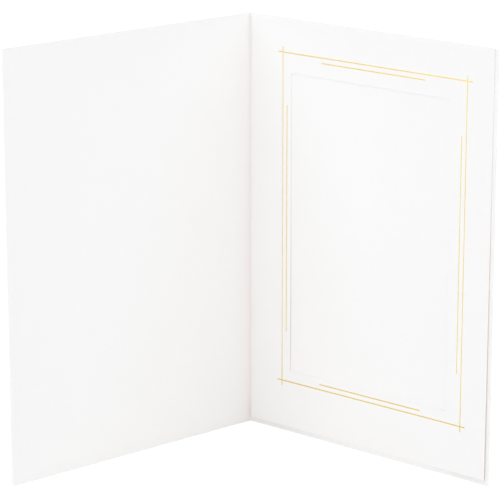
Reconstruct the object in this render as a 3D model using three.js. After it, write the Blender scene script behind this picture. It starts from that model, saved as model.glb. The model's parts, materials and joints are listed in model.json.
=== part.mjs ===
// Bi-fold photo folder standing open in a V, in millimetres, +Z up.
// One sheet of card is scored and folded into a plain cover, a back, and a mat with a window that turns
// down over the back from its top edge. Two glue strips hold the mat to the back and leave its outer side
// open, where a print slides in. Foil lines are stamped round the window.
// Everything is laid out from the hinge axis: X runs along the frame leaf, the mat faces -Y.
import * as THREE from 'three';

// Leaves
const leafHeight = 193.7;
const backWidth = 136.5;
const coverWidth = 136.5;
const cardThickness = 0.3;
const cornerRadius = 0.5;
const restOpening = 98.5; // degrees between the cover and the frame leaf

// Folds
const pocketTop = 0.1; // between the back and the mat at the top fold
const pocketBottom = 0.4; // at the mat's bottom edge, where the card springs off the back
const closedGap = 0.2; // between the mat's bottom edge and the shut cover
const scoreGap = 0.15; // from a fold to the panel that it carries
const beadRadius = 0.12; // ridge that the scoring leaves inside the spine

// Mat and its window
const matSpineInset = 0.6;
const matOuterInset = 1.9;
const matBottomInset = 2.1;
const windowLeft = 24;
const windowBottom = 29.6;
const windowWidth = 88.9;
const windowHeight = 139.2;

// Print that the pocket takes, and the glue that keeps it in place
const printWidth = 101.6;
const printHeight = 152.4;
const printMargin = 1;
const glueWidth = 9;
const spineGlueBottom = 13;
const spineGlueTop = 178;
const bottomGlueEnd = 100;

// Foil
const foilWidth = 0.45;
const foilThickness = 0.04;
const layerGap = 0.02; // hairline between layers that lie on each other
const borderLeft = 19.1;
const borderRight = 120.9;
const borderBottom = 24.2;
const borderTop = 178;
const borderOvershoot = 2.6;
const accentInset = 2.45;
const accentWidth = 57.3;
const accentHeight = 106;

const arcSegments = 12;
const cardColour = 0xf6f4f1;
const foilColour = 0xd8b26a;
const glueColour = 0xe8e2d2;

// Depths along +Y from the hinge axis. The axis lies midway between the outer faces of the shut folder,
// so the cover shuts flat on the mat and opens level with the back.
const backOuter = (3 * cardThickness + pocketBottom + closedGap) / 2;
const backInner = backOuter - cardThickness;

const quarterTurn = Math.PI / 2;
const topFoldInner = pocketTop / 2;
const topFoldOuter = topFoldInner + cardThickness;
const panelTop = leafHeight - topFoldOuter - scoreGap;
const matRight = backWidth - matOuterInset;
const matLean = Math.atan2(pocketBottom - pocketTop, panelTop - matBottomInset);

function paint(colour, roughness, metalness) {
  return new THREE.MeshStandardMaterial({ color: colour, roughness, metalness });
}

const card = () => paint(cardColour, 0.85, 0);
const foil = () => paint(foilColour, 0.35, 0.9);
const glue = () => paint(glueColour, 0.6, 0);

function named(name, geometry, material) {
  const mesh = new THREE.Mesh(geometry, material);
  mesh.name = name;
  return mesh;
}

function extrude(outline, depth) {
  return new THREE.ExtrudeGeometry(outline, { depth, bevelEnabled: false, curveSegments: arcSegments });
}

// A flat layer that stands in the XZ plane, with its rear face at the given depth.
function sheet(name, outline, thickness, rear, material) {
  const mesh = named(name, extrude(outline, thickness), material);
  mesh.rotation.x = quarterTurn;
  mesh.position.y = rear;
  return mesh;
}

// A bar of constant section along X. The section's own axes lie along Y and Z.
function bar(name, section, left, right, material) {
  const mesh = named(name, extrude(section, right - left), material);
  mesh.rotation.set(quarterTurn, quarterTurn, 0);
  mesh.position.x = left;
  return mesh;
}

function rectangle(left, bottom, right, top) {
  const corners = [[left, bottom], [right, bottom], [right, top], [left, top]];
  return new THREE.Shape(corners.map(([x, z]) => new THREE.Vector2(x, z)));
}

// A leaf with square corners at its fold, and softened die-cut corners at its free end.
function leafOutline(foldX, freeX, top) {
  const away = Math.sign(freeX - foldX);
  const arcX = freeX - away * cornerRadius;
  const outward = away > 0 ? 0 : Math.PI;
  const outline = new THREE.Shape();
  outline.moveTo(foldX, 0);
  outline.lineTo(arcX, 0);
  outline.absarc(arcX, cornerRadius, cornerRadius, -quarterTurn, outward, away < 0);
  outline.absarc(arcX, top - cornerRadius, cornerRadius, outward, quarterTurn, away < 0);
  outline.lineTo(foldX, top);
  outline.closePath();
  return outline;
}

// Cover, modelled flat open: it runs along -X, level with the back.
const coverLeaf = new THREE.Group();
coverLeaf.rotation.z = THREE.MathUtils.degToRad(180 - restOpening);
coverLeaf.add(sheet('cover_panel', leafOutline(-scoreGap, -coverWidth, leafHeight), cardThickness,
  backOuter, card()));

const frameLeaf = new THREE.Group();
frameLeaf.add(sheet('back_panel', leafOutline(scoreGap, backWidth, panelTop), cardThickness,
  backOuter, card()));

// Spine: the card bends round the hinge axis, with the bead of the score along the inside of the bend.
function spineFold() {
  const start = quarterTurn;
  const end = quarterTurn + coverLeaf.rotation.z;
  const middle = (start + end) / 2;
  const beadHalfAngle = beadRadius / backInner;
  const beadX = backInner * Math.cos(middle);
  const beadY = backInner * Math.sin(middle);
  const section = new THREE.Shape();
  section.absarc(0, 0, backOuter, start, end, false);
  section.absarc(0, 0, backInner, end, middle + beadHalfAngle, true);
  section.absarc(beadX, beadY, beadRadius, middle + quarterTurn, middle + 3 * quarterTurn, false);
  section.absarc(0, 0, backInner, middle - beadHalfAngle, start, true);
  section.closePath();
  return named('spine_fold', extrude(section, leafHeight), card());
}
frameLeaf.add(spineFold());

// Top fold: half a ring that turns the card forward from the back into the mat.
function topFold() {
  const centreY = backInner - topFoldInner;
  const centreZ = leafHeight - topFoldOuter;
  const section = new THREE.Shape();
  section.absarc(centreY, centreZ, topFoldOuter, 0, Math.PI, false);
  section.absarc(centreY, centreZ, topFoldInner, Math.PI, 0, true);
  section.closePath();
  return bar('top_fold', section, matSpineInset, matRight, card());
}
frameLeaf.add(topFold());

// The mat and its foil lean off the back about the top fold.
const leaningLeaf = new THREE.Group();
leaningLeaf.rotation.x = -matLean;
leaningLeaf.position.set(0, backInner - pocketTop, panelTop);
frameLeaf.add(leaningLeaf);
const matLayers = new THREE.Group();
matLayers.position.z = -panelTop;
leaningLeaf.add(matLayers);

// Mat with its die-cut window
const matOutline = rectangle(matSpineInset, matBottomInset, matRight, panelTop);
matOutline.holes.push(rectangle(windowLeft, windowBottom, windowLeft + windowWidth,
  windowBottom + windowHeight));
matLayers.add(sheet('mat_frame', matOutline, cardThickness, 0, card()));

// Glue between the back and the leaning mat, just clear of a print centred behind the window
function matRear(height) {
  return backInner - pocketTop - (panelTop - height) * Math.tan(matLean);
}

function glueStrip(name, left, bottom, right, top) {
  const section = new THREE.Shape();
  section.moveTo(backInner - layerGap, bottom);
  section.lineTo(backInner - layerGap, top);
  section.lineTo(matRear(top) + layerGap, top);
  section.lineTo(matRear(bottom) + layerGap, bottom);
  section.closePath();
  return bar(name, section, left, right, glue());
}

const printLeft = windowLeft + (windowWidth - printWidth) / 2;
const printBottom = windowBottom + (windowHeight - printHeight) / 2;
const glueRight = printLeft - printMargin;
const glueTop = printBottom - printMargin;
frameLeaf.add(glueStrip('spine_glue_strip', glueRight - glueWidth, spineGlueBottom, glueRight, spineGlueTop));
frameLeaf.add(glueStrip('bottom_glue_strip', printLeft, glueTop - glueWidth, bottomGlueEnd, glueTop));

// Foil border: four ruled lines that run past each other at the corners, stamped as one piece.
const foilRear = -cardThickness - layerGap;
const halfLine = foilWidth / 2;
const borderCentre = new THREE.Vector2((borderLeft + borderRight) / 2, (borderBottom + borderTop) / 2);
const halfBorder = new THREE.Vector2((borderRight - borderLeft) / 2, (borderTop - borderBottom) / 2);

function crossedCorner(sideX, sideZ) {
  const inner = halfBorder.clone().subScalar(halfLine);
  const outer = halfBorder.clone().addScalar(halfLine);
  const tip = halfBorder.clone().addScalar(borderOvershoot);
  const steps = [
    [outer.x, inner.y], [tip.x, inner.y], [tip.x, outer.y], [outer.x, outer.y],
    [outer.x, tip.y], [inner.x, tip.y], [inner.x, outer.y],
  ];
  const ordered = sideX * sideZ > 0 ? steps : steps.reverse();
  return ordered.map(([x, z]) => new THREE.Vector2(sideX * x, sideZ * z).add(borderCentre));
}

const corners = [[1, 1], [-1, 1], [-1, -1], [1, -1]];
const borderOutline = new THREE.Shape(corners.flatMap(([x, z]) => crossedCorner(x, z)));
borderOutline.holes.push(rectangle(borderLeft + halfLine, borderBottom + halfLine,
  borderRight - halfLine, borderTop - halfLine));
matLayers.add(sheet('border_foil', borderOutline, foilThickness, foilRear, foil()));

// Short accent lines, centred just inside each side of the border
const accents = [
  ['top', borderCentre.x, borderTop - accentInset, accentWidth, foilWidth],
  ['bottom', borderCentre.x, borderBottom + accentInset, accentWidth, foilWidth],
  ['left', borderLeft + accentInset, borderCentre.y, foilWidth, accentHeight],
  ['right', borderRight - accentInset, borderCentre.y, foilWidth, accentHeight],
];
for (const [side, x, z, width, height] of accents) {
  const line = rectangle(x - width / 2, z - height / 2, x + width / 2, z + height / 2);
  matLayers.add(sheet(`accent_foil_${side}`, line, foilThickness, foilRear, foil()));
}

// The whole folder stands on z = 0, centred on its own box.
const folder = new THREE.Group();
folder.add(coverLeaf, frameLeaf);
const box = new THREE.Box3().setFromObject(folder, true);
folder.position.x = -(box.min.x + box.max.x) / 2;
folder.position.y = -(box.min.y + box.max.y) / 2;

export default folder;
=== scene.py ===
import json
import math

import bmesh
import bpy
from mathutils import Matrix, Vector


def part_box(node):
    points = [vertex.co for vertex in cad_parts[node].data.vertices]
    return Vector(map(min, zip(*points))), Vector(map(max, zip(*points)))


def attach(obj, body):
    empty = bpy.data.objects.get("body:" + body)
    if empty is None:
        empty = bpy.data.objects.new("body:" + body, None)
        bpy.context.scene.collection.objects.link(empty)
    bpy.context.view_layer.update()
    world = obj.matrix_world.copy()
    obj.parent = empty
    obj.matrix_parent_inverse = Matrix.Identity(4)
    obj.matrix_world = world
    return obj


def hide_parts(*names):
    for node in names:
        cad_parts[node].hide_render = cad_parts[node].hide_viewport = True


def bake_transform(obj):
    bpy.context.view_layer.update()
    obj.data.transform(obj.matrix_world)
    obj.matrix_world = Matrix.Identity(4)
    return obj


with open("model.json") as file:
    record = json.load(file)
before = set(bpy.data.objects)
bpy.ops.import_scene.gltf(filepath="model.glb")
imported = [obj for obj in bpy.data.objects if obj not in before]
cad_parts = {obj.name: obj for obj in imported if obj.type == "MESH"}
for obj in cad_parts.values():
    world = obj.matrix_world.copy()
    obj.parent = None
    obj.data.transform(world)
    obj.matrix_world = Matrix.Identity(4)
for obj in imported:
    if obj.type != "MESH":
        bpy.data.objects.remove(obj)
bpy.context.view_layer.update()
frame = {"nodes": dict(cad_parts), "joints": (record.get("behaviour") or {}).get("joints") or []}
mm = 0.001
print("frame loaded:", len(frame["nodes"]), "solids")


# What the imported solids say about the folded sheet
def corners(node):
    return [vertex.co for vertex in frame["nodes"][node].data.vertices]


def levels(node, axis):
    # Distinct places of a node's corners along one axis, those within a hair counted once
    hair = 0.1 * mm
    found = []
    for place in sorted(point[axis] for point in corners(node)):
        if not found or place - found[-1] > hair:
            found.append(place)
    return found


spineHinge = frame["joints"][0]
hingeX, hingeY, hingeFoot = spineHinge["pos_m"]
coverTurn = math.radians(180 + spineHinge["range_deg"][0])  # how far the cover is folded up from flat
coverAlong = Vector((-math.cos(coverTurn), -math.sin(coverTurn)))

backLow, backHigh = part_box("back_panel")
topLow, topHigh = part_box("top_fold")
matLow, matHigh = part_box("mat_frame")
cardThickness = backHigh.y - backLow.y
halfCard = cardThickness / 2
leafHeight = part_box("cover_panel")[1].z
backWidth = backHigh.x - hingeX
coverWidth = max((p.xy - Vector((hingeX, hingeY))).dot(coverAlong) for p in corners("cover_panel"))
backTop = backHigh.z

# Depths are measured from the hinge axis towards the rear face
backInner = backLow.y - hingeY
leafMiddle = backInner + halfCard
topFoldRadius = (topHigh.y - topLow.y) / 2 - halfCard  # to the middle of the card
topFoldCentre = (topHigh.y + topLow.y) / 2 - hingeY
topFoldHeight = topHigh.z - topFoldRadius - halfCard

matLeft, windowLeft, windowRight, matRight = (x - hingeX for x in levels("mat_frame", 0))
matBottom, windowBottom, windowTop, matTop = levels("mat_frame", 2)
topGap = 2 * (topFoldRadius - halfCard)
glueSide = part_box("spine_glue_strip")[1].x - hingeX
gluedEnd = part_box("bottom_glue_strip")[1].x - hingeX


def framePoint(u, depth, v):
    return Vector((hingeX + u, hingeY + depth, v))


def coverPoint(u, depth, v):
    x = -u * math.cos(coverTurn) - depth * math.sin(coverTurn)
    y = -u * math.sin(coverTurn) + depth * math.cos(coverTurn)
    return Vector((hingeX + x, hingeY + y, v))


def eased(share):
    share = min(max(share, 0), 1)
    return share * share * (3 - 2 * share)


# Card sheets: a grid over the flat sheet, folded into place by each piece's own rule
sheetLook = {
    "mesh": 4 * mm,
    "leastStep": 0.4,  # share of a step that even stops keep from the finer ones
    "cutRadius": 0.09 * mm,  # how far the die rounds a cut edge
    "cutStops": (0, 0.03 * mm, 0.09 * mm, 0.25 * mm, 0.5 * mm),
    "cornerRadius": 0.5 * mm,
    "seamTail": 3 * mm,  # flat card that a fold's piece carries past its roll
    "smoothAngle": math.radians(35),
}
seam = sheetLook["seamTail"]


def gridStops(low, high, cuts, step=sheetLook["mesh"]):
    # Even stops, with finer ones beside each cut edge
    found = {low, high}
    for cut in cuts:
        for offset in sheetLook["cutStops"]:
            found.update(place for place in (cut - offset, cut + offset) if low <= place <= high)
    count = max(1, round((high - low) / step))
    for index in range(1, count):
        place = low + (high - low) * index / count
        if all(abs(place - other) > sheetLook["leastStep"] * step for other in found):
            found.add(place)
    return sorted(found)


def crushed(distance):
    # Share of the half thickness that is lost near a cut edge
    radius = sheetLook["cutRadius"]
    inside = min(max(distance, 0), radius)
    return (radius - math.sqrt(radius ** 2 - (radius - inside) ** 2)) / halfCard


def roundCorners(u, v, sheetCorners):
    # Moves the points of a square corner on to a small arc
    radius = sheetLook["cornerRadius"]
    for cornerU, cornerV, sideU, sideV in sheetCorners:
        a = 1 - abs(cornerU - u) / radius
        b = 1 - abs(cornerV - v) / radius
        if a > 0 and b > 0:
            u = cornerU - sideU * radius * (1 - a * math.sqrt(1 - b * b / 2))
            v = cornerV - sideV * radius * (1 - b * math.sqrt(1 - a * a / 2))
            break
    return u, v


def always(u, v):
    return True


def never(u, v):
    return 0


def buildSheet(name, uStops, vStops, isCard, place, cutDistance, foldShare=never, gapShading=never):
    # place(u, v, w) puts a point of the sheet in the frame, with w from -1 on its rear to 1 on its face
    kept = {
        (i, j)
        for i in range(len(uStops) - 1)
        for j in range(len(vStops) - 1)
        if isCard((uStops[i] + uStops[i + 1]) / 2, (vStops[j] + vStops[j + 1]) / 2)
    }
    sheet = bmesh.new()
    edgeLayer = sheet.verts.layers.float.new("cutEdge")
    # painted shade in the folds' creases and beside the spine, as a share on each vertex
    foldLayer = sheet.verts.layers.float.new("foldWear")
    # painted warm shade of the gap under the mat, as a share on each vertex
    gapShadeLayer = sheet.verts.layers.float.new("handled")
    made = {}

    def vertexAt(i, j, side):
        if (i, j, side) not in made:
            u, v = uStops[i], vStops[j]
            distance = cutDistance(u, v)
            vertex = sheet.verts.new(place(u, v, side * (1 - crushed(distance))))
            vertex[edgeLayer] = 1 - eased(distance / sheetLook["cutRadius"])
            vertex[foldLayer] = foldShare(u, v)
            vertex[gapShadeLayer] = gapShading(u, v)
            made[i, j, side] = vertex
        return made[i, j, side]

    neighbours = ((0, -1), (1, 0), (0, 1), (-1, 0))
    for i, j in sorted(kept):
        ring = ((i, j), (i + 1, j), (i + 1, j + 1), (i, j + 1))
        sheet.faces.new([vertexAt(*spot, 1) for spot in ring])
        sheet.faces.new([vertexAt(*spot, -1) for spot in reversed(ring)])
        for k, (stepI, stepJ) in enumerate(neighbours):
            if (i + stepI, j + stepJ) not in kept:
                a, b = ring[k], ring[(k + 1) % 4]
                sheet.faces.new([vertexAt(*a, 1), vertexAt(*a, -1), vertexAt(*b, -1), vertexAt(*b, 1)])
    bmesh.ops.recalc_face_normals(sheet, faces=sheet.faces)
    mesh = bpy.data.meshes.new(name)
    sheet.to_mesh(mesh)
    sheet.free()
    mesh.shade_smooth()
    mesh.set_sharp_from_angle(angle=sheetLook["smoothAngle"])
    return addPiece(name, mesh)


def addPiece(name, mesh):
    piece = bpy.data.objects.new(name, mesh)
    bpy.context.scene.collection.objects.link(piece)
    return piece


def dress(piece, material, slotName, *nodes):
    piece.data.materials.clear()
    piece.data.materials.append(material)
    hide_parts(*nodes)


# Node trees, for the materials and for the foil
def feed(tree, node, fed):
    # Each input takes a plain value or another node's output
    for socket, value in fed.items():
        if isinstance(value, bpy.types.NodeSocket):
            tree.links.new(value, node.inputs[socket])
        else:
            node.inputs[socket].default_value = value


def addNode(tree, kind, fed, **settings):
    node = tree.nodes.new(kind)
    for name, value in settings.items():
        setattr(node, name, value)
    feed(tree, node, fed)
    return node


def addSockets(group, direction, kinds):
    for name, kind in kinds.items():
        group.interface.new_socket(name, in_out=direction, socket_type="NodeSocket" + kind)


def calculate(tree, operation, *values, clamp=False):
    node = addNode(tree, "ShaderNodeMath", dict(enumerate(values)), operation=operation, use_clamp=clamp)
    return node.outputs[0]


def spread(tree, share, low, high, taken=(0, 1)):
    # Runs from low to high while the share runs over what is taken
    ranged = addNode(tree, "ShaderNodeMapRange", {
        "Value": share,
        "From Min": taken[0],
        "From Max": taken[1],
        "To Min": low,
        "To Max": high,
    })
    return ranged.outputs["Result"]


mixFirst, mixSecond, mixResult = 6, 7, 2  # the colour sockets of a Mix node


def mixColours(tree, share, first, second):
    # Each colour is a plain value or another node's output
    fed = {"Factor": share}
    for socket, colour in ((mixFirst, first), (mixSecond, second)):
        fed[socket] = (*colour, 1) if isinstance(colour, tuple) else colour
    return addNode(tree, "ShaderNodeMix", fed, data_type="RGBA").outputs[mixResult]


# Surface of the card: fine tooth with fibres lying in it, and a slow cloudiness of its tone
toothLook = {
    "fibreSquash": 0.4,  # draws the noise out along the fibres
    "fibreDetail": 2,
    "fibreCurl": 2,
    "cloudDetail": 3,
}


def makeCardTooth():
    group = bpy.data.node_groups.new("cardTooth", "ShaderNodeTree")
    addSockets(group, "INPUT", {"Point": "Vector", "Tooth Size": "Float", "Cloud Size": "Float"})
    addSockets(group, "OUTPUT", {"Tooth": "Float", "Cloud": "Float"})
    given = addNode(group, "NodeGroupInput", {}).outputs

    def noise(size, squash, detail, curl):
        scaled = addNode(group, "ShaderNodeMapping", {"Vector": given["Point"], "Scale": squash})
        texture = addNode(group, "ShaderNodeTexNoise", {
            "Vector": scaled.outputs["Vector"],
            "Scale": calculate(group, "DIVIDE", 1, size),
            "Detail": detail,
            "Distortion": curl,
        })
        return texture.outputs["Fac"]

    squash = toothLook["fibreSquash"]
    felting = (toothLook["fibreDetail"], toothLook["fibreCurl"])
    upright = noise(given["Tooth Size"], (1, 1, squash), *felting)
    level = noise(given["Tooth Size"], (squash, squash, 1), *felting)
    addNode(group, "NodeGroupOutput", {
        "Tooth": calculate(group, "MAXIMUM", upright, level),
        "Cloud": noise(given["Cloud Size"], (1, 1, 1), toothLook["cloudDetail"], 0),
    })
    return group


cardTooth = makeCardTooth()


def useCardTooth(tree, look):
    place = addNode(tree, "ShaderNodeTexCoord", {})
    tooth = addNode(tree, "ShaderNodeGroup", {
        "Point": place.outputs["Object"],
        "Tooth Size": look["toothSize"],
        "Cloud Size": look["cloudSize"],
    }, node_tree=cardTooth)
    return tooth.outputs["Tooth"], tooth.outputs["Cloud"]


def bumped(tree, height, look):
    bump = addNode(tree, "ShaderNodeBump", {
        "Height": height,
        "Strength": look["bump"],
        "Distance": look["toothDepth"],
    })
    return bump.outputs["Normal"]


def readAttribute(tree, name):
    return addNode(tree, "ShaderNodeAttribute", {}, attribute_name=name).outputs["Fac"]


def startMaterial(name):
    material = bpy.data.materials.new(name)
    material.use_nodes = True
    tree = material.node_tree
    return material, tree, tree.nodes["Principled BSDF"]


cardLook = {
    "pale": (0.941, 0.924, 0.898),
    "deep": (0.932, 0.914, 0.888),
    "fibre": (0.909, 0.891, 0.863),
    "fibreLevels": (0.5, 0.75),  # noise levels between which a fibre shows
    "cut": (0.938, 0.923, 0.897),  # raw fibres along a cut edge
    "handled": (0.81, 0.55, 0.37),  # painted warm shade of the gap under the mat, on its cut edges
    "soil": (0.35, 1),  # least and most of the painted shade, mottled between two noise levels
    "soilLevels": (0.45, 0.65),
    "fold": (0.9, 0.835, 0.785),  # painted shade in the folds' creases and painted warm shade beside the spine
    "roughness": (0.72, 0.86),
    "toothSize": 0.35 * mm,
    "cloudSize": 14 * mm,
    "toothDepth": 0.02 * mm,
    "bump": 0.7,
    "specular": 0.3,
}


def makeCard():
    material, tree, shader = startMaterial("whiteCard")
    tooth, cloud = useCardTooth(tree, cardLook)
    clouded = mixColours(tree, cloud, cardLook["pale"], cardLook["deep"])
    fibres = spread(tree, tooth, 0, 1, cardLook["fibreLevels"])
    surface = mixColours(tree, fibres, clouded, cardLook["fibre"])
    # painted shade in the creases and painted warm shade beside the spine
    folded = mixColours(tree, readAttribute(tree, "foldWear"), surface, cardLook["fold"])
    # painted shade of the gap under the mat's cut edges, mottled by the tooth
    gapShadeMottle = spread(tree, tooth, *cardLook["soil"], cardLook["soilLevels"])
    soil = calculate(tree, "MULTIPLY", readAttribute(tree, "handled"), gapShadeMottle)
    cut = mixColours(tree, soil, cardLook["cut"], cardLook["handled"])
    feed(tree, shader, {
        "Base Color": mixColours(tree, readAttribute(tree, "cutEdge"), folded, cut),
        "Roughness": spread(tree, tooth, *cardLook["roughness"]),
        "Specular IOR Level": cardLook["specular"],
        "Normal": bumped(tree, tooth, cardLook),
    })
    return material


foilLook = {
    "bright": (0.9, 0.715, 0.22),
    "deep": (0.77, 0.535, 0.05),
    "deepHeights": (28 * mm, 45 * mm),  # painted darker reflection on the low lines
    "bite": (0.8, 0),  # share of the deep tone at these heights
    "mottle": 0.4,
    "roughness": (0.24, 0.4),
    "clouding": (0.36, 0.64),  # noise levels that give the bright and the deep tone
    "pinholes": (0.7, 0.76),  # noise levels above which the card shows through
    "toothSize": 0.16 * mm,
    "cloudSize": 2.5 * mm,
    "toothDepth": 0.01 * mm,
    "bump": 0.5,
}


def makeFoil():
    material, tree, shader = startMaterial("goldFoil")
    tooth, cloud = useCardTooth(tree, foilLook)
    place = addNode(tree, "ShaderNodeTexCoord", {})
    height = addNode(tree, "ShaderNodeSeparateXYZ", {0: place.outputs["Object"]})
    # painted darker reflection, deepest along the bottom
    bite = spread(tree, height.outputs["Z"], *foilLook["bite"], foilLook["deepHeights"])
    mottle = spread(tree, cloud, 0, foilLook["mottle"], foilLook["clouding"])
    share = calculate(tree, "ADD", mottle, bite, clamp=True)
    stamped = mixColours(tree, share, foilLook["bright"], foilLook["deep"])
    bare = spread(tree, tooth, 0, 1, foilLook["pinholes"])
    feed(tree, shader, {
        "Base Color": mixColours(tree, bare, stamped, cardLook["pale"]),
        "Metallic": spread(tree, bare, 1, 0),
        "Roughness": spread(tree, tooth, *foilLook["roughness"]),
        "Normal": bumped(tree, tooth, foilLook),
    })
    return material


glueLook = {
    "clear": (0.86, 0.82, 0.7),
    "cloudy": (0.78, 0.72, 0.58),
    "roughness": (0.3, 0.55),
    "toothSize": 0.8 * mm,
    "cloudSize": 4 * mm,
    "toothDepth": 0.05 * mm,
    "bump": 0.5,
}


def makeGlue():
    material, tree, shader = startMaterial("driedGlue")
    tooth, cloud = useCardTooth(tree, glueLook)
    feed(tree, shader, {
        "Base Color": mixColours(tree, cloud, glueLook["clear"], glueLook["cloudy"]),
        "Roughness": spread(tree, tooth, *glueLook["roughness"]),
        "Normal": bumped(tree, tooth, glueLook),
    })
    return material


whiteCard = makeCard()
goldFoil = makeFoil()
driedGlue = makeGlue()
print("materials made")


# Cover and back: flat leaves with a seam where their fold's piece takes over
coverLook = {
    "cockle": 0.04 * mm,  # height of the leaf's slight waves, which start beyond its fold
    "cockleRise": 30 * mm,
    "acrossWave": 17 * mm,
    "acrossSway": (0.8, 41 * mm),  # how far the waves across it wander, and over what height
    "upWave": 29 * mm,
    "upStart": 1.3,
    "tone": 0.5,  # share of the fold's colour beside the spine, painted warm shade between the leaves
    "toneReach": 10 * mm,
    "toneDown": (0.05, 0.4),  # shares of the way down over which it comes in
}
leafStops = gridStops(0, leafHeight, (0, leafHeight))


def cockle(u, v):
    rise = eased((u - seam) / coverLook["cockleRise"])
    sway, swayWave = coverLook["acrossSway"]
    across = math.sin(u / coverLook["acrossWave"] + sway * math.sin(v / swayWave))
    up = math.sin(v / coverLook["upWave"] + coverLook["upStart"])
    return coverLook["cockle"] * rise * (across + up) / 2


# painted warm shade on the cover beside the spine, darker towards the bottom
def coverShade(u, v):
    down = 1 - v / leafHeight
    clean, full = coverLook["toneDown"]
    fading = 1 - eased(u / coverLook["toneReach"])
    return coverLook["tone"] * fading * eased((down - clean) / (full - clean))


def makeCover():
    outer = [(coverWidth, 0, 1, -1), (coverWidth, leafHeight, 1, 1)]

    def place(u, v, w):
        depth = leafMiddle - w * halfCard + cockle(u, v)
        u, v = roundCorners(u, v, outer)
        return coverPoint(u, depth, v)

    def cutDistance(u, v):
        return min(coverWidth - u, v, leafHeight - v)

    uStops = gridStops(seam, coverWidth, (coverWidth,))
    piece = buildSheet("cover", uStops, leafStops, always, place, cutDistance, coverShade)
    dress(piece, whiteCard, "card", "cover_panel")
    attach(piece, "cover")


def makeBack():
    outer = [(backWidth, 0, 1, -1), (backWidth, backTop, 1, 1)]
    shoulder = topFoldHeight - seam  # the fold's piece takes over above this, between the mat's sides

    def isCard(u, v):
        return v < shoulder or u > matRight

    def place(u, v, w):
        depth = leafMiddle - w * halfCard
        u, v = roundCorners(u, v, outer)
        return framePoint(u, depth, v)

    def cutDistance(u, v):
        return min(backWidth - u, v, backTop - v if u > matRight else v)

    uStops = gridStops(matLeft, backWidth, (matRight, backWidth))
    vStops = gridStops(0, shoulder, (0,)) + gridStops(shoulder, backTop, (backTop,))[1:]
    piece = buildSheet("back", uStops, vStops, isCard, place, cutDistance)
    dress(piece, whiteCard, "card", "back_panel")
    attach(piece, "frame_leaf")


makeCover()
makeBack()
print("leaves made")


# Folds: the card rolls round a small radius, with a ridge inside the scored spine
foldLook = {
    "rollStops": 16,
    "bead": 0.12 * mm,
    "beadWidth": 0.16 * mm,
    "blendMargin": 0.4 * mm,  # flat card on each side of the roll, added to a reach that makeSpine works out and leaves unused
    "wearReach": 0.5,  # reach of the painted crease shade on each side of the crease, in rolls
    "topWear": 0.2,  # share of the painted crease shade on the top roll, against the scored spine
}


def foldStops(roll, before, after):
    # Flat card before the roll, the roll itself, then flat card after it
    count = foldLook["rollStops"]
    rolled = [roll * index / count for index in range(count + 1)]
    return [-place for place in before] + rolled + [roll + place for place in after]


# painted shade in a fold's crease, deepest at its middle
def creaseShade(s, roll):
    return 1 - eased(abs(s - roll / 2) / (foldLook["wearReach"] * roll))


def makeSpine():
    roll = leafMiddle * coverTurn

    def bead(s):
        return foldLook["bead"] * math.exp(-((s - roll / 2) / foldLook["beadWidth"]) ** 2)

    def place(s, v, w):
        inward = w * halfCard + (bead(s) if w > 0 else 0)
        if s < 0:
            return framePoint(-s, leafMiddle - inward, v)
        if s > roll:
            return coverPoint(s - roll, leafMiddle - inward, v)
        angle = math.pi / 2 + s / leafMiddle
        radius = leafMiddle - inward
        return framePoint(radius * math.cos(angle), radius * math.sin(angle), v)

    def cutDistance(s, v):
        return min(v, leafHeight - v)

    # painted shade in the crease, running into the painted shade beside the spine
    def foldShare(s, v):
        return max(creaseShade(s, roll), eased(s / roll) * coverShade(max(s - roll, 0), v))

    stops = foldStops(roll, (matLeft, matLeft / 2), (seam / 5, seam / 2, seam))
    piece = buildSheet("spine", stops, leafStops, always, place, cutDistance, foldShare)
    dress(piece, whiteCard, "card", "spine_fold")
    across = coverAlong - Vector((1, 0))
    across = across.normalized() * (leafMiddle * math.sin(coverTurn / 2) + foldLook["blendMargin"])
    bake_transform(piece)


matLook = {
    "gluedGap": 0.03 * mm,  # between mat and back where glue holds them
    "outerLift": 0.33 * mm,  # by which the open side springs off at its bottom corner
    "windowLift": 0.2 * mm,  # along the window's side between the glue strips
    "spring": 1.5,  # how late on the way down it springs off
    "settle": 25 * mm,  # from the top fold down to where the mat lies close
    "cornerLift": 0.25 * mm,  # at the bottom corner by the spine, below the glue
    "cornerReach": (70 * mm, 13 * mm),
    "mouthMargin": 5 * mm,  # past the window's sides, where the other painted shade counts
    "mouthSoil": 0.6,  # share of the height over which painted shade comes in at the mouth's edge
    "windowSoil": (0.4, 0.9),  # the same for the window's side
    "windowShare": 0.7,
}


def matGap(u, v):
    # Glue holds the mat close to the back, and the card springs off between and beyond the strips
    down = topFoldHeight - v
    close = topGap + (matLook["gluedGap"] - topGap) * eased(down / matLook["settle"])
    fall = (max(down, 0) / (topFoldHeight - matBottom)) ** matLook["spring"]
    free = eased((u - gluedEnd) / (matRight - gluedEnd))
    aboveGlue = eased((v - windowBottom) / matLook["settle"])
    bowed = eased((u - glueSide) / (windowLeft - glueSide)) * aboveGlue
    alongCorner, upCorner = matLook["cornerReach"]
    corner = eased(1 - u / alongCorner) * eased(1 - (v - matBottom) / upCorner)
    lift = fall * (matLook["outerLift"] * free + matLook["windowLift"] * bowed * (1 - free))
    return close + lift + matLook["cornerLift"] * corner


def matMiddle(u, v):
    return backInner - matGap(u, v) - halfCard


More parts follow.
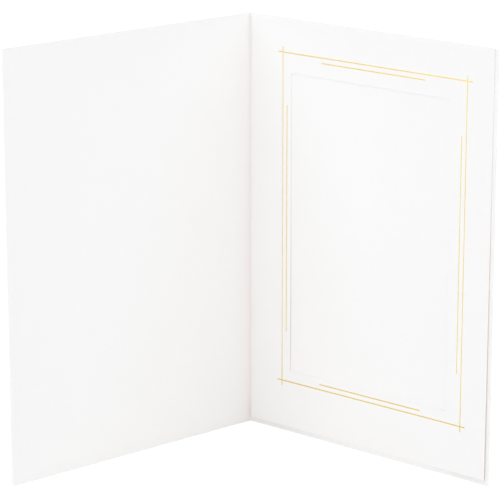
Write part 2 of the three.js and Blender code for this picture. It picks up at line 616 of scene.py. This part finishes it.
def makeTopFold():
    roll = topFoldRadius * math.pi

    def place(u, s, w):
        outward = w * halfCard
        if s < 0:
            return framePoint(u, topFoldCentre + topFoldRadius + outward, topFoldHeight + s)
        if s > roll:
            v = topFoldHeight - (s - roll)
            return framePoint(u, matMiddle(u, v) - outward, v)
        radius = topFoldRadius + outward
        angle = s / topFoldRadius
        depth = topFoldCentre + radius * math.cos(angle)
        return framePoint(u, depth, topFoldHeight + radius * math.sin(angle))

    def cutDistance(u, s):
        return min(u - matLeft, matRight - u) if s > 0 else leafHeight

    # painted shade in the top roll's crease, kept faint
    def foldShare(u, s):
        return foldLook["topWear"] * creaseShade(s, roll)

    stops = foldStops(roll, (seam, seam / 3), (seam / 3, seam))
    across = gridStops(matLeft, matRight, (matLeft, matRight))
    piece = buildSheet("top_roll", across, stops, always, place, cutDistance, foldShare)
    dress(piece, whiteCard, "card", "top_fold")
    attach(piece, "frame_leaf")


# Mat with its die-cut window
def makeMat():
    outer = [(matLeft, matBottom, -1, -1), (matRight, matBottom, 1, -1)]

    def isCard(u, v):
        return not (windowLeft < u < windowRight and windowBottom < v < windowTop)

    def place(u, v, w):
        depth = matMiddle(u, v) - w * halfCard
        u, v = roundCorners(u, v, outer)
        return framePoint(u, depth, v)

    def cutDistance(u, v):
        besides = max(windowLeft - u, 0, u - windowRight)
        above = max(windowBottom - v, 0, v - windowTop)
        return min(u - matLeft, matRight - u, v - matBottom, math.hypot(besides, above))

    def gapShading(u, v):
        # Painted warm shade of the gap under the mat: at the pocket's mouth and low down at the window's
        # side, growing downwards
        down = (matTop - v) / (matTop - matBottom)
        if u > windowRight + matLook["mouthMargin"]:
            return eased(down / matLook["mouthSoil"])
        if u > windowLeft + matLook["mouthMargin"]:
            return 0
        clean, soiled = matLook["windowSoil"]
        return matLook["windowShare"] * eased((down - clean) / (soiled - clean))

    uStops = gridStops(matLeft, matRight, (matLeft, windowLeft, windowRight, matRight))
    vStops = gridStops(matBottom, topFoldHeight - seam, (matBottom, windowBottom, windowTop))
    piece = buildSheet("mat", uStops, vStops, isCard, place, cutDistance, gapShading=gapShading)
    dress(piece, whiteCard, "card", "mat_frame")
    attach(piece, "frame_leaf")
    return piece


makeSpine()
makeTopFold()
mat = makeMat()
print("folds and mat made")


# Glue between the mat and the back, squeezed out a little along its edges
glueShape = {
    "mesh": 2 * mm,
    "wander": 0.5 * mm,  # by which its edges draw in
    "wanderWaves": (7 * mm, 2.9 * mm),
    "wanderStart": 1,
    "meniscus": 0.35,
    "layer": 0.005 * mm,  # kept clear of the card on each side
}


def makeGlueStrip(name, node):
    low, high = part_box(node)
    left, right = low.x - hingeX, high.x - hingeX

    def wander(along):
        longWave, shortWave = glueShape["wanderWaves"]
        sway = math.sin(along / longWave) + math.sin(along / shortWave + glueShape["wanderStart"])
        return glueShape["wander"] * sway / 2

    def place(u, v, w):
        gap = matGap(u, v)
        middle = backInner - gap / 2
        edge = min(u - left, right - u, v - low.z, high.z - v)
        fullness = 1 - glueShape["meniscus"] * (1 - eased(edge / glueShape["mesh"]))
        depth = middle - w * fullness * (gap / 2 - glueShape["layer"])
        towards = 1 - 2 * (u - left) / (right - left)
        upwards = 1 - 2 * (v - low.z) / (high.z - low.z)
        return framePoint(u + towards * abs(wander(v)), depth, v + upwards * abs(wander(u)))

    def cutDistance(u, v):
        return sheetLook["cutRadius"]

    uStops = gridStops(left, right, (), glueShape["mesh"])
    vStops = gridStops(low.z, high.z, (), glueShape["mesh"])
    piece = buildSheet(name, uStops, vStops, always, place, cutDistance)
    dress(piece, driedGlue, "glue", node)
    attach(piece, "frame_leaf")


makeGlueStrip("spine_glue", "spine_glue_strip")
makeGlueStrip("bottom_glue", "bottom_glue_strip")
print("glue made")


# Foil: ruled lines that follow the face of the mat
foilShape = {
    "thickness": 0.02 * mm,
    "sink": 0.006 * mm,  # the stamp presses the foil into the card
    "lap": 0.003 * mm,  # by which level lines lie over upright ones
    "levelShare": 1.06,  # width of level and upright lines against the solid's
    "uprightShare": 0.92,
    "spacing": 3 * mm,
    "cornerRadius": 0.006 * mm,
    "cornerSteps": 2,
    "castFrom": 5 * mm,  # in front of the mat, from where the lines are laid on it
}


def makeFoilTree():
    tree = bpy.data.node_groups.new("foilRule", "GeometryNodeTree")
    addSockets(tree, "INPUT", {
        "Lines": "Geometry",
        "Card": "Object",
        "Line Width": "Float",
        "Thickness": "Float",
        "Rise": "Float",
        "Lap": "Float",
        "Level Share": "Float",
        "Upright Share": "Float",
        "Spacing": "Float",
        "Corner Radius": "Float",
        "Corner Steps": "Int",
        "Finish": "Material",
    })
    addSockets(tree, "OUTPUT", {"Foil": "Geometry"})
    given = addNode(tree, "NodeGroupInput", {}).outputs

    # Lines become curves, laid on the card along +Y from in front of it
    curve = addNode(tree, "GeometryNodeMeshToCurve", {"Mesh": given["Lines"]})
    resampled = addNode(tree, "GeometryNodeResampleCurve", {
        "Curve": curve.outputs["Curve"],
        "Length": given["Spacing"],
    }, mode="LENGTH")
    card = addNode(tree, "GeometryNodeObjectInfo", {"Object": given["Card"]})
    ray = addNode(tree, "GeometryNodeRaycast", {
        "Target Geometry": card.outputs["Geometry"],
        "Ray Direction": (0, 1, 0),
    })
    heading = addNode(tree, "GeometryNodeInputTangent", {})
    slope = addNode(tree, "ShaderNodeSeparateXYZ", {0: heading.outputs["Tangent"]})
    steep = calculate(tree, "ABSOLUTE", slope.outputs["Z"])
    lapped = calculate(tree, "MULTIPLY", steep, given["Lap"])
    forward = addNode(tree, "ShaderNodeVectorMath", {
        0: (0, -1, 0),
        "Scale": calculate(tree, "SUBTRACT", given["Rise"], lapped),
    }, operation="SCALE")
    onCard = addNode(tree, "ShaderNodeVectorMath", {
        0: ray.outputs["Hit Position"],
        1: forward.outputs["Vector"],
    }, operation="ADD")
    laid = addNode(tree, "GeometryNodeSetPosition", {
        "Geometry": resampled.outputs["Curve"],
        "Position": onCard.outputs["Vector"],
    })
    facing = addNode(tree, "GeometryNodeSetCurveNormal", {
        "Curve": laid.outputs["Geometry"],
        "Normal": (0, -1, 0),
    }, mode="FREE")

    # Section of the foil, swept along them with a width that suits each heading
    section = addNode(tree, "GeometryNodeCurvePrimitiveQuadrilateral", {
        "Height": given["Line Width"],
        "Width": given["Thickness"],
    }, mode="RECTANGLE")
    softened = addNode(tree, "GeometryNodeFilletCurve", {
        "Curve": section.outputs["Curve"],
        "Count": given["Corner Steps"],
        "Radius": given["Corner Radius"],
    }, mode="POLY")
    swept = addNode(tree, "GeometryNodeCurveToMesh", {
        "Curve": facing.outputs["Curve"],
        "Profile Curve": softened.outputs["Curve"],
        "Scale": spread(tree, steep, given["Level Share"], given["Upright Share"]),
        "Fill Caps": True,
    })
    joined = addNode(tree, "GeometryNodeMeshBoolean", {
        "Mesh 2": swept.outputs["Mesh"],
        "Self Intersection": True,
    }, operation="UNION", solver="EXACT")
    realized = addNode(tree, "GeometryNodeRealizeInstances", {"Geometry": joined.outputs["Mesh"]})
    finished = addNode(tree, "GeometryNodeSetMaterial", {
        "Geometry": realized.outputs["Geometry"],
        "Material": given["Finish"],
    })
    addNode(tree, "NodeGroupOutput", {"Foil": finished.outputs["Geometry"]})
    return tree


foilRule = makeFoilTree()


def runTree(piece, tree, values):
    # Sets the tree's inputs by identifier, then keeps its result as a plain mesh
    modifier = piece.modifiers.new(tree.name, "NODES")
    modifier.node_group = tree
    sockets = [item for item in tree.interface.items_tree if item.in_out == "INPUT"]
    identifiers = {socket.name: socket.identifier for socket in sockets}
    for name, value in values.items():
        modifier[identifiers[name]] = value
    graph = bpy.context.evaluated_depsgraph_get()
    mesh = bpy.data.meshes.new_from_object(piece.evaluated_get(graph))
    piece.modifiers.remove(modifier)
    flat = piece.data
    piece.data = mesh
    bpy.data.meshes.remove(flat)
    mesh.name = piece.name


def makeFoilLines(name, lines, width, *nodes):
    inFront = matLow.y - foilShape["castFrom"]
    mesh = bpy.data.meshes.new(name)
    points = [(x, inFront, z) for line in lines for x, z in line]
    mesh.from_pydata(points, [(2 * index, 2 * index + 1) for index in range(len(lines))], [])
    piece = addPiece(name, mesh)
    runTree(piece, foilRule, {
        "Card": mat,
        "Line Width": width,
        "Thickness": foilShape["thickness"],
        "Rise": foilShape["thickness"] / 2 - foilShape["sink"],
        "Lap": foilShape["lap"],
        "Level Share": foilShape["levelShare"],
        "Upright Share": foilShape["uprightShare"],
        "Spacing": foilShape["spacing"],
        "Corner Radius": foilShape["cornerRadius"],
        "Corner Steps": foilShape["cornerSteps"],
        "Finish": goldFoil,
    })
    piece.data.shade_flat()
    dress(piece, goldFoil, "foil", *nodes)
    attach(piece, "frame_leaf")
    print(name, len(piece.data.polygons), "faces")


def middles(edges):
    # Middle of each line from its two edges, which follow each other in the list
    return [(low + high) / 2 for low, high in zip(edges[::2], edges[1::2])]


def makeBorder():
    tipLeft, *uprightEdges, tipRight = levels("border_foil", 0)
    tipBottom, *levelEdges, tipTop = levels("border_foil", 2)
    lines = [((x, tipBottom), (x, tipTop)) for x in middles(uprightEdges)]
    lines += [((tipLeft, z), (tipRight, z)) for z in middles(levelEdges)]
    makeFoilLines("border_foil_lines", lines, uprightEdges[1] - uprightEdges[0], "border_foil")


def makeAccent(side):
    low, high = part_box(f"accent_foil_{side}")
    middle = (low + high) / 2
    size = high - low
    if size.z > size.x:
        line = ((middle.x, low.z), (middle.x, high.z))
    else:
        line = ((low.x, middle.z), (high.x, middle.z))
    makeFoilLines(f"accent_{side}", [line], min(size.x, size.z), f"accent_foil_{side}")


makeBorder()
for side in ("top", "bottom", "left", "right"):
    makeAccent(side)
print("foil made")


# Studio: pale floor that reads as white, soft dome, and lamps for the open side and the outer faces
studio = {
    "floorSize": 14,
    "floorColour": (0.88, 0.875, 0.865),
    "floorShade": 0.18,  # share of the seen floor that takes the shadow
    "floorWhite": (0.88, 1),  # glow of the seen floor, near the object and far from it
    "floorReach": (0.4, 1.6),
    "daylight": (0.941, 0.96, 1),  # colour of the dome and the lamps
    "domeStrength": 0.512,
    "lampAim": (0, 0, 0.1),
    "lamps": {  # place, size and power
        "leftAbove": ((-0.48, -1.21, 1.63), 1.8, 7.8),
        "leftLow": ((-0.6, -1.98, 0.8), 1.1, 6.4),
        "front": ((1.19, -1.38, 1.15), 1.8, 11.2),
        "right": ((1.8, 0.3, 1.2), 1.8, 13),
        "behind": ((-0.8, 1.95, 0.9), 1.8, 17),  # this one and the next light the outer faces
        "coverSide": ((-2.1, 0.1, 0.8), 1.8, 5),
    },
}


def seenDirectly(tree):
    # 1 for rays from the camera, and for those that metal or glass sends on
    path = addNode(tree, "ShaderNodeLightPath", {}).outputs
    mirrored = calculate(tree, "MAXIMUM", path["Is Glossy Ray"], path["Is Transmission Ray"])
    return calculate(tree, "MAXIMUM", path["Is Camera Ray"], mirrored)


def showWhite(tree, lit, seen, output):
    # Lights the object by one shader and shows another in its place
    mix = addNode(tree, "ShaderNodeMixShader", {
        0: seenDirectly(tree),
        1: lit.outputs[0],
        2: seen.outputs[0],
    })
    addNode(tree, output, {"Surface": mix.outputs[0]})


def makeFloor():
    half = studio["floorSize"] / 2
    square = [(-half, -half, 0), (half, -half, 0), (half, half, 0), (-half, half, 0)]
    mesh = bpy.data.meshes.new("floor")
    mesh.from_pydata(square, [], [(0, 1, 2, 3)])
    floor = addPiece("floor", mesh)
    material = bpy.data.materials.new("paleFloor")
    material.use_nodes = True
    tree = material.node_tree
    tree.nodes.clear()
    shadeTone = studio["floorShade"]
    plain = addNode(tree, "ShaderNodeBsdfDiffuse", {"Color": (*studio["floorColour"], 1)})
    shade = addNode(tree, "ShaderNodeBsdfDiffuse", {"Color": (shadeTone, shadeTone, shadeTone, 1)})
    place = addNode(tree, "ShaderNodeTexCoord", {})
    away = addNode(tree, "ShaderNodeVectorMath", {0: place.outputs["Object"]}, operation="LENGTH")
    white = spread(tree, away.outputs["Value"], *studio["floorWhite"], studio["floorReach"])
    glow = addNode(tree, "ShaderNodeEmission", {"Strength": white})
    seen = addNode(tree, "ShaderNodeAddShader", {0: shade.outputs[0], 1: glow.outputs[0]})
    showWhite(tree, plain, seen, "ShaderNodeOutputMaterial")
    mesh.materials.append(material)


def makeWorld():
    world = bpy.data.worlds.new("studioDome")
    bpy.context.scene.world = world
    world.use_nodes = True
    tree = world.node_tree
    tree.nodes.clear()
    dome = addNode(tree, "ShaderNodeBackground", {
        "Color": (*studio["daylight"], 1),
        "Strength": studio["domeStrength"],
    })
    white = addNode(tree, "ShaderNodeBackground", {"Color": (1, 1, 1, 1)})
    showWhite(tree, dome, white, "ShaderNodeOutputWorld")


def makeLamp(name, place, size, power):
    data = bpy.data.lights.new(name, "AREA")
    data.energy = power
    data.color = studio["daylight"]
    data.size = size
    lamp = bpy.data.objects.new(name, data)
    lamp.location = place
    aim = Vector(studio["lampAim"]) - lamp.location
    lamp.rotation_euler = aim.to_track_quat("-Z", "Y").to_euler()
    bpy.context.scene.collection.objects.link(lamp)


makeFloor()
makeWorld()
for name, (place, size, power) in studio["lamps"].items():
    makeLamp(name, place, size, power)
print("studio made")


# Camera, placed from the hinge axis
view = {
    "fromHinge": (756.68 * mm, -878.07 * mm, 394.54 * mm),
    "turn": math.radians(40.766),
    "tilt": math.radians(-15.043),
    "lens": 187.485,
    "sensor": 36,
}


def makeCamera():
    data = bpy.data.cameras.new("photoView")
    data.lens = view["lens"]
    data.sensor_width = view["sensor"]
    camera = bpy.data.objects.new("photoView", data)
    camera.location = Vector((hingeX, hingeY, hingeFoot)) + Vector(view["fromHinge"])
    camera.rotation_euler = (math.pi / 2 + view["tilt"], 0, view["turn"])
    bpy.context.scene.collection.objects.link(camera)
    bpy.context.scene.camera = camera


makeCamera()
bpy.context.scene.view_settings.view_transform = "Standard"
print("camera made")
